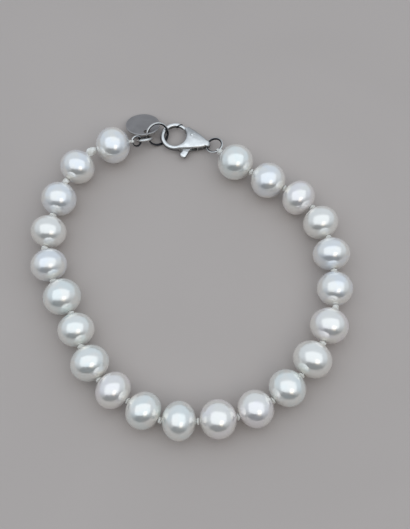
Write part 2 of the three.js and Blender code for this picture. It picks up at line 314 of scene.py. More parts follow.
def prism(
    outline: Array, low: float, high: float, pose: Pose, shade: float = 0.9
) -> bpy.types.Object:
    """A straight-sided block over a flat outline, used as a cutter or a plate.

    Args:
        outline: Points of the outline in the pose's xy plane.
        low: Where the block starts on the pose's z axis.
        high: Where it ends.
        pose: Where the block stands.
        shade: Its shade value, which the walls that it cuts take over as painted shade.

    Returns:
        The block, linked to the scene.
    """
    count = len(outline)
    levels = [np.column_stack([outline, np.full(count, z)]) for z in (low, high)]
    points = pose.place(np.concatenate(levels)) * MM
    ring = np.arange(count)
    beside = (ring + 1) % count
    walls = np.stack([ring, beside, beside + count, ring + count], -1)
    faces = [*walls.tolist(), ring[::-1].tolist(), (ring + count).tolist()]
    return new_piece("cutter", points, faces, np.full(2 * count, shade))


def cut_away(piece: bpy.types.Object, cutters: list[bpy.types.Object], crease: float) -> None:
    """Takes each cutter out of a piece for good, and removes the cutters.

    Args:
        piece: The piece to cut.
        cutters: Closed blocks to take out of it.
        crease: Edges that turn more than this many degrees stay sharp.
    """
    for cutter in cutters:
        step = piece.modifiers.new("cut", "BOOLEAN")
        step.operation, step.solver, step.object = "DIFFERENCE", "EXACT", cutter
    bpy.context.view_layer.update()
    shown = piece.evaluated_get(bpy.context.evaluated_depsgraph_get())
    done = bpy.data.meshes.new_from_object(shown)
    piece.modifiers.clear()
    piece.data = done
    tidy_mesh(done, crease)
    for cutter in cutters:
        bpy.data.objects.remove(cutter)


# ---------------------------------------------------------------- finishes


@dataclass
class NodeSheet:
    """A node tree with short calls to add and join nodes."""

    tree: bpy.types.NodeTree

    def add(
        self, kind: str, inputs: dict[str | int, object] | None = None, **settings: object
    ) -> bpy.types.Node:
        """Adds a node.

        Args:
            kind: The node's type name.
            inputs: For each of its sockets, by name or number, a value or a source socket.
            settings: Values for its own properties.

        Returns:
            The node.
        """
        node = self.tree.nodes.new(kind)
        for key, value in settings.items():
            setattr(node, key, value)
        self.feed(node, inputs or {})
        return node

    def feed(self, node: bpy.types.Node, inputs: dict[str | int, object]) -> None:
        """Sets a node's sockets, or links them where a socket is given as the value.

        Args:
            node: The node.
            inputs: For each socket, by name or number, a value or a source socket.
        """
        for key, value in inputs.items():
            if isinstance(value, Socket):
                self.tree.links.new(value, node.inputs[key])
            else:
                node.inputs[key].default_value = value

    def place(self) -> Socket:
        """The coordinates of the piece itself."""
        return self.add("ShaderNodeTexCoord").outputs["Object"]

    def shade(self) -> Socket:
        """The shade value that the mesh carries."""
        return self.add("ShaderNodeAttribute", attribute_name="shade").outputs["Fac"]

    def noise(
        self, vector: Socket, scale: Socket, detail: float, roughness: float
    ) -> bpy.types.Node:
        """A noise texture.

        Args:
            vector: The coordinates that it follows.
            scale: How closely it is set.
            detail: How many finer layers it has.
            roughness: How strong those layers are.

        Returns:
            The node, whose first output is its value.
        """
        inputs = {"Vector": vector, "Scale": scale, "Detail": detail, "Roughness": roughness}
        return self.add("ShaderNodeTexNoise", inputs)

    def times(self, first: Socket, second: Socket | float) -> Socket:
        """One value times another."""
        return self.add("ShaderNodeMath", {0: first, 1: second}, operation="MULTIPLY").outputs[0]

    def spread(self, source: Socket, low: float, high: float, curve: str = "LINEAR") -> Socket:
        """A value between two others, spread over 0 to 1.

        Args:
            source: The value's socket.
            low: The value that becomes 0.
            high: The value that becomes 1.
            curve: How it rises between them.

        Returns:
            The result's socket.
        """
        inputs = {"Value": source, "From Min": low, "From Max": high}
        return self.add("ShaderNodeMapRange", inputs, interpolation_type=curve).outputs[0]

    def scale(self, source: Socket, low: float, high: float) -> Socket:
        """A value from 0 to 1, spread between two others."""
        inputs = {"Value": source, "To Min": low, "To Max": high}
        return self.add("ShaderNodeMapRange", inputs).outputs[0]

    def blend(self, mask: Socket, first: Colour | Socket, second: Colour | Socket) -> Socket:
        """A colour between two others, by a mask.

        The Mix node's colours are its sockets 6 and 7, and its result is output 2.

        Args:
            mask: Where the second colour shows.
            first: The colour at 0, or a socket that gives it.
            second: The colour at 1, or a socket that gives it.

        Returns:
            The colour's socket.
        """
        both = [(*part, 1.0) if isinstance(part, tuple) else part for part in (first, second)]
        inputs = {0: mask, 6: both[0], 7: both[1]}
        return self.add("ShaderNodeMix", inputs, data_type="RGBA").outputs[2]

    def mottled(self, mask: Socket, colour: Colour, share: float) -> Socket:
        """A colour that a mask darkens to a share of itself."""
        return self.blend(mask, colour, tuple(share * part for part in colour))

    def bump(self, height: Socket, strength: float, depth: float) -> Socket:
        """A normal raised by a height, whose relief is given in millimetres."""
        inputs = {"Height": height, "Strength": strength, "Distance": depth * MM}
        return self.add("ShaderNodeBump", inputs).outputs["Normal"]


class SharedEffect(Enum):
    """Effects that several finishes use, each a node group that is built once."""

    MOTTLE = "soft_mottle"
    MARKS = "handling_marks"

    def place(self, sheet: NodeSheet, size: float) -> dict[str, Socket]:
        """Puts the effect into a material, on the piece's own coordinates.

        Args:
            sheet: The material's node sheet.
            size: Size of the pattern in millimetres.

        Returns:
            The outputs Mask and Height.
        """
        tree = bpy.data.node_groups.get(self.value) or self.build()
        inputs = {"Scale": 1 / (size * MM), "Vector": sheet.place()}
        return sheet.add("ShaderNodeGroup", inputs, node_tree=tree).outputs

    def build(self) -> bpy.types.NodeTree:
        """Builds the group with its sockets.

        Returns:
            The group's node tree.
        """
        tree = bpy.data.node_groups.new(self.value, "ShaderNodeTree")
        tree.interface.new_socket("Vector", in_out="INPUT", socket_type="NodeSocketVector")
        tree.interface.new_socket("Scale", in_out="INPUT", socket_type="NodeSocketFloat")
        tree.interface.new_socket("Mask", in_out="OUTPUT", socket_type="NodeSocketFloat")
        tree.interface.new_socket("Height", in_out="OUTPUT", socket_type="NodeSocketFloat")
        sheet = NodeSheet(tree)
        entry = sheet.add("NodeGroupInput").outputs
        fill = self.mottle if self is SharedEffect.MOTTLE else self.marks
        mask, height = fill(sheet, entry["Vector"], entry["Scale"])
        sheet.add("NodeGroupOutput", {"Mask": mask, "Height": height})
        return tree

    @staticmethod
    def mottle(sheet: NodeSheet, vector: Socket, scale: Socket) -> tuple[Socket, Socket]:
        """Broad soft clouds as the mask, and finer ones as the height.

        Args:
            sheet: The group's node sheet.
            vector: The coordinates that the clouds follow.
            scale: How closely they are set.

        Returns:
            The mask and the height.
        """
        clouds = sheet.noise(vector, scale, 2.0, 0.5)
        sheet.feed(clouds, {"Distortion": 0.6})
        finer = sheet.noise(vector, sheet.times(scale, 4.0), 4.0, 0.6)
        return sheet.spread(clouds.outputs[0], 0.35, 0.65, "SMOOTHSTEP"), finer.outputs[0]

    @staticmethod
    def marks(sheet: NodeSheet, vector: Socket, scale: Socket) -> tuple[Socket, Socket]:
        """Short fine lines that cross, as the height, with their cloudy density as the mask.

        Args:
            sheet: The group's node sheet.
            vector: The coordinates that the lines follow.
            scale: How closely they are set.

        Returns:
            The mask and the height.
        """
        clouds = sheet.noise(vector, scale, 3.0, 0.55)
        layers = []
        for turn, stretch in ((0.6, (1.0, 14.0, 14.0)), (-0.9, (12.0, 1.0, 12.0))):
            inputs = {"Vector": vector, "Rotation": (0.3, 0.2, turn), "Scale": stretch}
            turned = sheet.add("ShaderNodeMapping", inputs)
            layers.append(sheet.noise(turned.outputs[0], scale, 2.0, 0.5).outputs[0])
        lines = sheet.spread(sheet.times(*layers), 0.15, 0.4)
        return sheet.spread(clouds.outputs[0], 0.4, 0.66), lines


def start_material(
    name: str, **sockets: object
) -> tuple[bpy.types.Material, NodeSheet, bpy.types.Node]:
    """A new material with its surface shader set.

    Args:
        name: Name of the material.
        sockets: Values for the shader's own sockets, with _ for each space in a name.

    Returns:
        The material, its node sheet and its surface shader.
    """
    material = bpy.data.materials.new(name)
    material.use_nodes = True
    sheet, shader = NodeSheet(material.node_tree), material.node_tree.nodes["Principled BSDF"]
    sheet.feed(shader, {key.replace("_", " "): value for key, value in sockets.items()})
    return material, sheet, shader


class Overtone(Enum):
    """The faint colour that floats over a pearl's white."""

    SILVER = (0.9, 0.91, 0.925)
    ROSE = (0.95, 0.905, 0.9)
    GREEN = (0.9, 0.93, 0.9)
    CREAM = (0.95, 0.93, 0.88)


class Finish:
    """A finish whose material is built once and then shared."""

    name: str

    def material(self) -> bpy.types.Material:
        """The finish's material, built when it is first asked for."""
        return bpy.data.materials.get(self.name) or self.build()

    def build(self) -> bpy.types.Material:
        """Builds the material. Each finish does this in its own way."""
        raise NotImplementedError


@dataclass(frozen=True)
class NacreFinish(Finish):
    """White nacre: soft mirror-like lustre over a pale cream body, with a faint overtone."""

    overtone: Overtone
    body: Colour = (0.96, 0.93, 0.875)
    lustre: float = 0.58
    roughness: float = 0.18

    @property
    def name(self) -> str:
        """The material's name, one for each overtone."""
        return f"nacre_{self.overtone.name.lower()}"

    def build(self) -> bpy.types.Material:
        """Builds the material with its clouds of overtone and its faintly uneven skin."""
        material, sheet, shader = start_material(
            self.name, Metallic=self.lustre, Coat_Weight=0.35, Coat_Roughness=0.1, Coat_IOR=1.6
        )
        clouds = SharedEffect.MOTTLE.place(sheet, 3.4)
        skin = SharedEffect.MOTTLE.place(sheet, 2.6)
        sheet.feed(shader, {
            "Base Color": sheet.blend(clouds["Mask"], self.body, self.overtone.value),
            "Roughness": sheet.scale(skin["Mask"], self.roughness - 0.03, self.roughness + 0.05),
            "Normal": sheet.bump(skin["Height"], 0.3, 0.012),
        })
        return material


@dataclass(frozen=True)
class SilverFinish(Finish):
    """Polished silver with fine handling marks, duller and darker where the painted shade is high.
    """

    name: str = "handled_silver"
    metal: Colour = (0.97, 0.96, 0.94)
    # The dark colour of the painted shade.
    painted_shade: Colour = (0.06, 0.06, 0.065)
    roughness: float = 0.3
    mark_depth: float = 0.006

    def build(self) -> bpy.types.Material:
        """Builds the material with its marks, and its painted shade where the shade value is high.
        """
        material, sheet, shader = start_material(self.name, Metallic=1.0)
        marks = SharedEffect.MARKS.place(sheet, 0.9)
        worn = sheet.mottled(marks["Mask"], self.metal, 0.86)
        sheet.feed(shader, {
            "Base Color": sheet.blend(sheet.shade(), worn, self.painted_shade),
            "Roughness": sheet.scale(marks["Mask"], self.roughness, self.roughness + 0.14),
            "Normal": sheet.bump(marks["Height"], 0.5, self.mark_depth),
        })
        return material


@dataclass(frozen=True)
class SatinSilverFinish(Finish):
    """Brushed grey silver whose rim, where the shade value is high, is smooth and painted lighter
    as a highlight.
    """

    name: str = "brushed_silver"
    face: Colour = (0.34, 0.32, 0.315)
    # The rim's lighter colour is a painted highlight.
    rim: Colour = (0.58, 0.575, 0.57)

    def build(self) -> bpy.types.Material:
        """Builds the material with its brushed face and its smoother rim, painted lighter as a
        highlight.
        """
        material, sheet, shader = start_material(self.name, Metallic=0.85)
        shade = sheet.shade()
        clouds = SharedEffect.MOTTLE.place(sheet, 2.6)
        face = sheet.mottled(clouds["Mask"], self.face, 0.9)
        sheet.feed(shader, {
            "Base Color": sheet.blend(shade, face, self.rim),
            "Roughness": sheet.scale(shade, 0.42, 0.2),
            "Normal": sheet.bump(SharedEffect.MARKS.place(sheet, 0.5)["Height"], 0.6, 0.012),
        })
        return material


@dataclass(frozen=True)
class SilkFinish(Finish):
    """Cream-white twisted silk with a soft sheen. Where shade is high, between its plies, it is
    painted darker as shade.
    """

    name: str = "twisted_silk"
    thread: Colour = (0.97, 0.95, 0.9)
    # The darker colour is painted shade in the grooves.
    between: Colour = (0.8, 0.76, 0.69)

    def build(self) -> bpy.types.Material:
        """Builds the material with its fibres, and painted shade between the plies."""
        material, sheet, shader = start_material(
            self.name, Sheen_Weight=0.35, Sheen_Roughness=0.4, Specular_IOR_Level=0.35
        )
        fibres = SharedEffect.MARKS.place(sheet, 0.35)
        sheet.feed(shader, {
            "Base Color": sheet.blend(sheet.shade(), self.thread, self.between),
            "Roughness": sheet.scale(fibres["Mask"], 0.5, 0.72),
            "Normal": sheet.bump(fibres["Height"], 0.8, 0.03),
        })
        return material


def dress(
    piece: bpy.types.Object, material: bpy.types.Material, slot: str, body: str, *nodes: str
) -> None:
    """Gives a piece its finish, hides the CAD nodes that it stands for, and parents it to the body
    that it moves with.

    Args:
        piece: The finished piece.
        material: Its material.
        slot: The record's material slot. Not used.
        body: The body that it rides on.
        nodes: The CAD nodes that it stands for.
    """
    piece.data.materials.clear()
    piece.data.materials.append(material)
    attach(piece, body)
    if nodes:
        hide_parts(*nodes)
    piece.data.calc_loop_triangles()
    LOG.info("%s: %d triangles, on %s", piece.name, len(piece.data.loop_triangles), body)


# ---------------------------------------------------------------- the strand


@dataclass(frozen=True)
class PearlSize:
    """One pearl: its width, its length on the drill axis, its heading and the room after it."""

    across: float
    along: float
    axis: float
    gap: float
    overtone: Overtone = Overtone.CREAM
    dimple: float = 0.0


@dataclass(frozen=True)
class PearlPlace:
    """Where one pearl lies, with the knot after it."""

    size: PearlSize
    centre: Array
    way: Array
    knot: Array

    def entry(self) -> Array:
        """The near end of its drill hole."""
        return self.centre - self.way * self.size.along / 2

    def exit(self) -> Array:
        """The far end of its drill hole."""
        return self.centre + self.way * self.size.along / 2


PEARLS = (
    PearlSize(8.0, 7.4, 195, 2.4, Overtone.SILVER),
    PearlSize(7.7, 7.1, 235, 1.35, Overtone.SILVER),
    PearlSize(7.6, 7.2, 254, 0.8, Overtone.SILVER, 0.05),
    PearlSize(7.6, 6.8, 260, 1.0, Overtone.CREAM),
    PearlSize(7.7, 6.8, 287, 0.65, Overtone.SILVER),
    PearlSize(8.0, 7.4, 300, 0.55, Overtone.GREEN, 0.06),
    PearlSize(7.6, 6.9, 288, 0.7, Overtone.GREEN),
    PearlSize(8.0, 7.2, 299, 0.55, Overtone.GREEN),
    PearlSize(7.8, 6.7, 324, 0.45, Overtone.ROSE),
    PearlSize(7.7, 7.0, 328, 0.65, Overtone.GREEN),
    PearlSize(8.0, 6.8, 359, 0.6, Overtone.GREEN),
    PearlSize(7.9, 7.4, 366, 0.45, Overtone.ROSE, 0.05),
    PearlSize(7.7, 7.2, 386, 0.45, Overtone.ROSE),
    PearlSize(7.8, 7.2, 401, 0.6, Overtone.GREEN),
    PearlSize(8.2, 7.3, 416, 0.75, Overtone.CREAM),
    PearlSize(8.0, 7.3, 429, 1.1, Overtone.ROSE),
    PearlSize(7.5, 7.2, 450, 0.65, Overtone.SILVER),
    PearlSize(7.9, 6.8, 456, 0.7, Overtone.SILVER),
    PearlSize(7.6, 6.9, 474, 0.7, Overtone.CREAM),
    PearlSize(7.6, 6.7, 502, 0.55, Overtone.ROSE),
    PearlSize(7.7, 7.4, 512, 0.7, Overtone.SILVER),
    PearlSize(7.9, 7.5, 504, 0.0, Overtone.GREEN),
)


@dataclass(frozen=True)
class StrandLayout:
    """The way that the pearls follow each other round the loop."""

    pearls: tuple[PearlSize, ...] = PEARLS

    def places(self) -> list[PearlPlace]:
        """Walks round the strand from pearl to knot to pearl.

        Each knot lies half a gap past a pearl's drill hole, and the next pearl starts half a gap
        past the knot, on its own heading.

        Returns:
            The place of each pearl, in order.
        """
        found = []
        middle = box_centre("pearl_01")[:2]
        for size, after in zip(self.pearls, (*self.pearls[1:], None)):
            way = heading(size.axis)
            centre = np.array([*middle, size.across / 2])
            knot = centre + way * (size.along + size.gap) / 2
            if after:
                knot[2] = (size.across + after.across) / 4
                middle = (knot + heading(after.axis) * (size.gap + after.along) / 2)[:2]
            found.append(PearlPlace(size, centre, way, knot))
        return found


@dataclass(frozen=True)
class PearlStrand:
    """The drilled pearls."""

    bore: float = 0.42
    bands: int = 56
    sides: int = 72
    waviness: float = 0.006
    wave_spread: float = 2.1
    ripple_spread: float = 8.0
    ripple_share: float = 0.12
    dimple_width: float = 0.11
    rim_width: float = 0.07
    rim_drop: float = 0.012

    def surface(self, place: PearlPlace, seed: int) -> Array:
        """One drilled pearl as a grid of rings round its drill axis.

        With a the angle from the drill axis and b the angle round it, a point is
        (-along/2 cos a, across/2 sin a cos b, across/2 sin a sin b), drawn in a little by five
        random long waves, by a small dimple and towards the rim of the hole. The last rings run
        back through the bore, so that the surface closes on itself.

        Args:
            place: Where the pearl lies.
            seed: Seed of its waves.

        Returns:
            The grid in the bracelet's frame, closed both ways.
        """
        size, chance = place.size, np.random.default_rng(seed)
        first = np.arcsin(2 * self.bore / size.across)
        a = np.linspace(first, np.pi - first, self.bands)[:, None]
        b = full_turn(self.sides)[None, :]
        ways = np.stack([-np.cos(a) + 0 * b, np.sin(a) * np.cos(b), np.sin(a) * np.sin(b)], -1)
        waves = chance.normal(0, self.wave_spread, (5, 3))
        wave = np.cos(ways @ waves.T + chance.uniform(0, 6.28, 5)).mean(-1)
        ripples = chance.normal(0, self.ripple_spread, (7, 3))
        fine = np.cos(ways @ ripples.T + chance.uniform(0, 6.28, 7)).mean(-1)
        pull = self.waviness * (1 + wave + self.ripple_share * fine)
        spot = unit(np.array([chance.uniform(-0.5, 0.5), chance.uniform(-0.6, 0.6), 1.0]))
        away = np.arccos(np.clip(ways @ spot, -1, 1))
        pull = pull + size.dimple / size.across * 2 * bell(away, self.dimple_width)
        rim = bell(a - first, self.rim_width) + bell(np.pi - first - a, self.rim_width)
        shape = ways * np.array([size.along, size.across, size.across]) / 2
        skin = shape * (1 - pull - self.rim_drop * rim)[..., None]
        run = np.linspace(skin[-1, :, 0].mean(), skin[0, :, 0].mean(), 6)[:, None]
        y, z = self.bore * np.cos(b) + 0 * run, self.bore * np.sin(b) + 0 * run
        inside = np.stack([run + 0 * b, y, z], -1)
        pose = Pose(place.centre, place.way, np.cross(UP, place.way), UP)
        return pose.place(np.concatenate([skin, inside]))

    def build(self, places: list[PearlPlace]) -> None:
        """Builds and dresses every pearl.

        Args:
            places: Where the pearls lie.
        """
        for number, place in enumerate(places, 1):
            shell = Shell()
            shell.add(self.surface(place, 40 + number), closed=True)
            bead = shell.build(f"bead_{number:02d}", crease=50)
            nacre = NacreFinish(place.size.overtone).material()
            dress(bead, nacre, "pearl", "bracelet", f"pearl_{number:02d}")


# ---------------------------------------------------------------- rings


@dataclass(frozen=True)
class JumpRing:
    """A ring of round wire with a hairline joint."""

    name: str
    radius: float
    wire: float
    joint: float
    opening: float = 0.0
    # The next four numbers set the painted shade: its strength, how much the outer and upper sides
    # are spared, and its contrast.
    painted_shade: float = 1.0
    outside_lit: float = 0.95
    top_lit: float = 0.75
    painted_shade_gain: float = 2.2
    seam_width: float = 0.07
    seam_depth: float = 0.14
    seam_shade: float = 0.8
    end_rounding: float = 0.14
    steps: int = 96
    sides: int = 24

    def surface(self, pose: Pose) -> tuple[Array, Array]:
        """The ring as rings of points round its wire.

        A point is (radius + w cos b) * (cos a, sin a), w sin b. The wire radius w dips in a bell
        curve at the joint, or the wire stops short on both sides of an open joint and rounds off.

        Args:
            pose: Where the ring lies.

        Returns:
            The grid, and a shade value: high in the joint, and painted shade inside the ring and
                under it.
        """
        start = np.radians(self.joint)
        if self.opening:
            half = self.opening / self.radius / 2
            near, far = np.linspace(0, 0.04, 7), np.linspace(0.96, 1, 7)
            spacing = np.concatenate([near, np.linspace(0.05, 0.95, self.steps), far])
            a = start + half + spacing * (2 * np.pi - 2 * half)
            to_end = np.minimum(spacing, 1 - spacing) * 2 * np.pi * self.radius
            short = 1 - np.clip(to_end / self.end_rounding, 0, 1)
            wire = self.wire * np.clip(1 - short**2.4, 0.12, 1) ** 0.5
            seam = np.zeros_like(a)
        else:
            spacing = np.linspace(0, 1, self.steps, endpoint=False)
            a = start + 2 * np.pi * spacing
            to_joint = np.minimum(spacing, 1 - spacing) * 2 * np.pi * self.radius
            dip = bell(to_joint, self.seam_width)
            wire, seam = self.wire * (1 - self.seam_depth * dip), self.seam_shade * dip
        b = full_turn(self.sides)[None, :]
        reach = self.radius + wire[:, None] * np.cos(b)
        a = a[:, None]
        rise = wire[:, None] * np.sin(b) + 0 * a
        grid = np.stack([reach * np.cos(a), reach * np.sin(a), rise], -1)
        out = np.stack([np.cos(b) * np.cos(a), np.cos(b) * np.sin(a), np.sin(b) + 0 * a], -1)
        # Painted shade: dark on the inside of the ring and on the side that faces down in the
        # world.
        lift = out @ np.array([pose.x_axis[2], pose.y_axis[2], pose.z_axis[2]])
        in_shade = 1.0 - self.outside_lit * np.cos(b) - self.top_lit * lift
        dark = np.clip(in_shade * self.painted_shade_gain, 0, 1) * self.painted_shade
        return pose.place(grid), np.maximum(seam[:, None], dark)

    def build(self, pose: Pose, finish: SilverFinish) -> None:
        """Builds and dresses the ring.

        Args:
            pose: Where the ring lies.
            finish: Its finish.
        """
        grid, shade = self.surface(pose)
        shell = Shell()
        if self.opening:
            shell.add(close_ends(grid), shade=repeat_ends(shade))
        else:
            shell.add(grid, closed=True, shade=shade)
        piece = shell.build(f"{self.name}_wire", crease=60)
        dress(piece, finish.material(), "polished_silver", "bracelet", self.name)


# ---------------------------------------------------------------- silk


@dataclass(frozen=True)
class SilkThread:
    """The silk thread, its knots and the loops that tie it to the rings at both ends.

    The end knot and the tail knot are given as half their length and their radius.
    """

    thread: float = 0.28
    knot: float = 0.68
    long_knot: float = 0.88
    long_gap: float = 2.0
    loop_thread: float = 0.12
    turn_apart: float = 0.11
    tuck: float = 0.35
    knot_twist: float = 2.6
    plies_per_mm: float = 7.0
    ply_depth: float = 0.08
    wrap_depth: float = 0.12
    end_knot: tuple[float, float] = (0.2, 0.3)
    tail_knot: tuple[float, float] = (0.48, 0.6)
    sides: int = 28

    def add_run(
        self,
        shell: Shell,
        start: Array,
        middle: Array,
        end: Array,
        half: float,
        size: float,
        seed: int,
    ) -> None:
        """Adds a short run of thread with a knot in the middle.

        The run bends on a quadratic curve. At x from the knot's middle its radius is
        size * sqrt(1 - |x/half|^3), never less than the thread's, times 1 + ridges, where the
        ridges are crossed cosines of the angle round the run and of x.

        The shade value is high between the ridges, where the grooves get painted shade.

        Args:
            shell: What to add it to.
            start: Where the run starts, inside one pearl or at a ring.
            middle: The middle of the knot.
            end: Where it ends, inside the next pearl.
            half: Half the knot's length.
            size: The knot's radius.
            seed: Seed for the place of the ridges.
        """
        chance = np.random.default_rng(seed)
        reach = np.linalg.norm(end - start) / 2
        t = np.linspace(-1, 1, 41)
        t = 0.6 * t + 0.4 * t**3
        path = quadratic(start, middle, end, 2001)[np.round((t + 1) * 1000).astype(int)]
        x = t * reach
        body = size * np.sqrt(np.clip(1 - np.abs(x / half) ** 3, 0, 1))
        plain = np.maximum(body, self.thread)[:, None]
        b = full_turn(self.sides)[None, :]
        turn = self.knot_twist * x[:, None] / half
        phases = chance.uniform(0, 6.28, 3)
        wraps = 0.6 * np.cos(2 * b + turn + phases[0])
        wraps = wraps + 0.5 * np.cos(3 * b - 1.4 * turn + phases[1])
        plies = np.cos(3 * b + self.plies_per_mm * x[:, None])
        in_knot = (body > self.thread)[:, None]
        knotted = self.wrap_depth * wraps + 0.03 * np.cos(9 * b + 4 * turn + phases[2])
        ridges = np.where(in_knot, knotted, self.ply_depth * plies)
        # Painted shade, high in the grooves between the ridges.
        shade = np.clip(0.5 - 4.5 * ridges, 0, 1)
        grid = sweep(path, plain * (1 + ridges), self.sides)
        shell.add(close_ends(grid), shade=repeat_ends(shade))

    def add_loop(self, shell: Shell, ring: JumpRing, pose: Pose, toward: Array) -> Array:
        """Adds two turns of thread round a ring's wire, on the ring's side that faces a point.

        Each turn is a circle about the wire, thickened by the thread's radius.

        Args:
            shell: What to add them to.
            ring: The ring.
            pose: Its pose.
            toward: The point that the loop faces.

        Returns:
            The point where the thread leaves them.
        """
        loop = ring.wire + 0.9 * self.loop_thread
        gap = toward - pose.centre
        outward = unit(gap - pose.z_axis * (gap @ pose.z_axis))
        on_wire = pose.centre + outward * ring.radius
        tangent = np.cross(pose.z_axis, outward)
        a = full_turn(48)[:, None, None]
        b = full_turn(16)[None, :, None]
        for shift in (-self.turn_apart, self.turn_apart):
            out = np.cos(a) * outward - np.sin(a) * pose.z_axis
            thick = self.loop_thread * (1 + self.ply_depth * np.cos(3 * b + 9 * a))
            centre = on_wire + tangent * (shift + 0.05 * np.cos(a))
            turn = centre + loop * out + thick * (np.cos(b) * out + np.sin(b) * tangent)
            # A light painted shade on the loops.
            shell.add(turn, closed=True, shade=0.1)
        pull = toward - on_wire
        return on_wire + unit(pull - tangent * (pull @ tangent)) * loop

    def build(
        self,
        places: list[PearlPlace],
        end_ring: JumpRing,
        end_pose: Pose,
        tail_ring: JumpRing,
        tail_pose: Pose,
    ) -> None:
        """Builds and dresses the whole thread as one piece.

        Args:
            places: Where the pearls lie.
            end_ring: The ring beside the first pearl.
            end_pose: Its pose.
            tail_ring: The ring beside the last pearl.
            tail_pose: Its pose.
        """
        shell = Shell()
        for number, (place, after) in enumerate(zip(places[:-1], places[1:])):
            gap = place.size.gap
            size = self.long_knot if gap > self.long_gap else self.knot
            start, end = place.exit() - place.way * self.tuck, after.entry() + after.way * self.tuck
            self.add_run(shell, start, place.knot, end, gap / 2 + 0.03, size, 7 + number)
        for place in places:
            share = np.linspace(-0.5, 0.5, 24)[:, None]
            path = place.centre + place.way * share * (place.size.along - 0.3)
            twist = 3 * full_turn(self.sides)[None, :] + np.linspace(0, 40, 24)[:, None]
            plies = self.thread * (1 + self.ply_depth * np.cos(twist))
            # Painted shade on the thread inside the pearls.
            shell.add(close_ends(sweep(path, plies, self.sides)), shade=0.3)
        first, last = places[0], places[-1]
        tie = self.add_loop(shell, end_ring, end_pose, first.entry())
        inside = first.entry() + first.way * 0.5
        self.add_run(shell, tie, (tie + inside) / 2, inside, *self.end_knot, 90)
        tie = self.add_loop(shell, tail_ring, tail_pose, last.exit())
        inside = last.exit() - last.way * 0.4
        self.add_run(shell, tie, (tie + last.exit()) / 2, inside, *self.tail_knot, 91)
        thread = shell.build("knotted_silk", crease=180)
        dress(thread, SilkFinish().material(), "silk", "bracelet", "silk_thread")


# ---------------------------------------------------------------- tag


@dataclass(frozen=True)
class BlankTag:
    """A plain round tag with a hole near its edge."""

    radius: float = 3.75
    thickness: float = 0.42
    hole: float = 0.6
    hole_middle: float = 2.75
    hole_angle: float = -69.5
    rounding: float = 0.13
    sides: int = 144
    edge_rows: int = 7
    face_rows: int = 14

    def surface(self, pose: Pose) -> tuple[Array, Array]:
        """The tag as rings that run over its face, round its rim and back to its hole.

        At angle a each ring point lies between the hole's edge and the rim at the same angle,
        at share s of the way: (1-s) * hole point + s * rim point. Both edges turn over on a
        quarter circle.

        Args:
            pose: Where the tag lies.

        Returns:
            The grid, closed both ways, and a shade value that is high on the rim, for its painted
            highlight.
        """
        a = full_turn(self.sides)
        ring = np.stack([np.cos(a), np.sin(a)], -1)
        hole_middle = circle(self.hole_middle, self.hole_angle)
        flat = self.thickness / 2
        turn = np.radians(np.linspace(0, 90, self.edge_rows))
        drop = self.rounding * (1 - np.cos(turn))
        back = self.rounding * (1 - np.sin(turn))
        share = np.linspace(0, 1, self.face_rows)
        zero = np.zeros(self.edge_rows)
        plain = np.full(self.edge_rows + self.face_rows, self.rounding)
        hole_in = np.concatenate([back[::-1], plain])
        rim_in = np.concatenate([plain, back])
        mix = np.concatenate([zero, share, zero + 1])
        height = np.concatenate([flat - drop[::-1], 0 * share + flat, flat - drop])
        # The rim's painted highlight, strongest at the middle of the outer edge.
        bright = np.concatenate([zero, 0 * share, np.linspace(0.1, 1, self.edge_rows)])
        hole_line = hole_middle + (self.hole + hole_in)[:, None, None] * ring
        rim_line = (self.radius - rim_in)[:, None, None] * ring
        flat_points = (1 - mix)[:, None, None] * hole_line + mix[:, None, None] * rim_line
        levels = np.broadcast_to(height[:, None, None], (len(mix), self.sides, 1))
        top = np.concatenate([flat_points, levels], -1)
        under = top[::-1] * np.array([1, 1, -1])
        grid = np.concatenate([top, under])
        return pose.place(grid), np.concatenate([bright, bright[::-1]])[:, None]

    def build(self, pose: Pose) -> None:
        """Builds and dresses the tag.

        Args:
            pose: Where the tag lies.
        """
        grid, shade = self.surface(pose)
        shell = Shell()
        shell.add(grid, closed=True, shade=shade)
        piece = shell.build("blank_tag", crease=60)
        dress(piece, SatinSilverFinish().material(), "satin_silver", "bracelet", "tag")


# ---------------------------------------------------------------- lobster clasp


